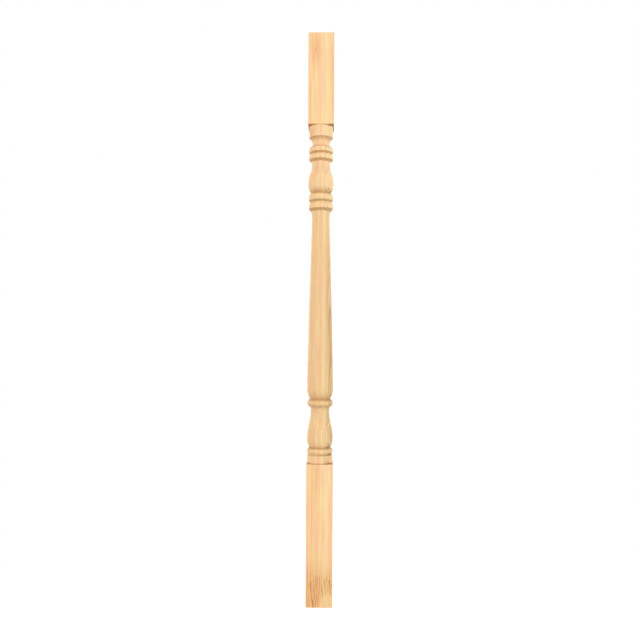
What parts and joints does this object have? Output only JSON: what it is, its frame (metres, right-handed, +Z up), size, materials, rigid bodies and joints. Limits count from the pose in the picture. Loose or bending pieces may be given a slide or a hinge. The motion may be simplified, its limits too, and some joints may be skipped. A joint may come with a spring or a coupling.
{
  "type": "stair baluster",
  "caption": "Turned pine stair baluster with square ends, beads, vases and a long tapered shaft, set between a base rail and a handrail.",
  "frame": {"origin": "middle of the sawn foot, on the surface that the baluster stands on", "axes": "+Z up the turning axis from foot to head, X and Y square to the planed faces"},
  "size_m": [0.041, 0.041, 0.9],
  "materials": {
    "pine": "clear pine, planed on the square ends and turned and sanded between them, bare of stain or varnish"
  },
  "bodies": {
    "root": {"baluster": "pine"}
  },
  "joints": []
}
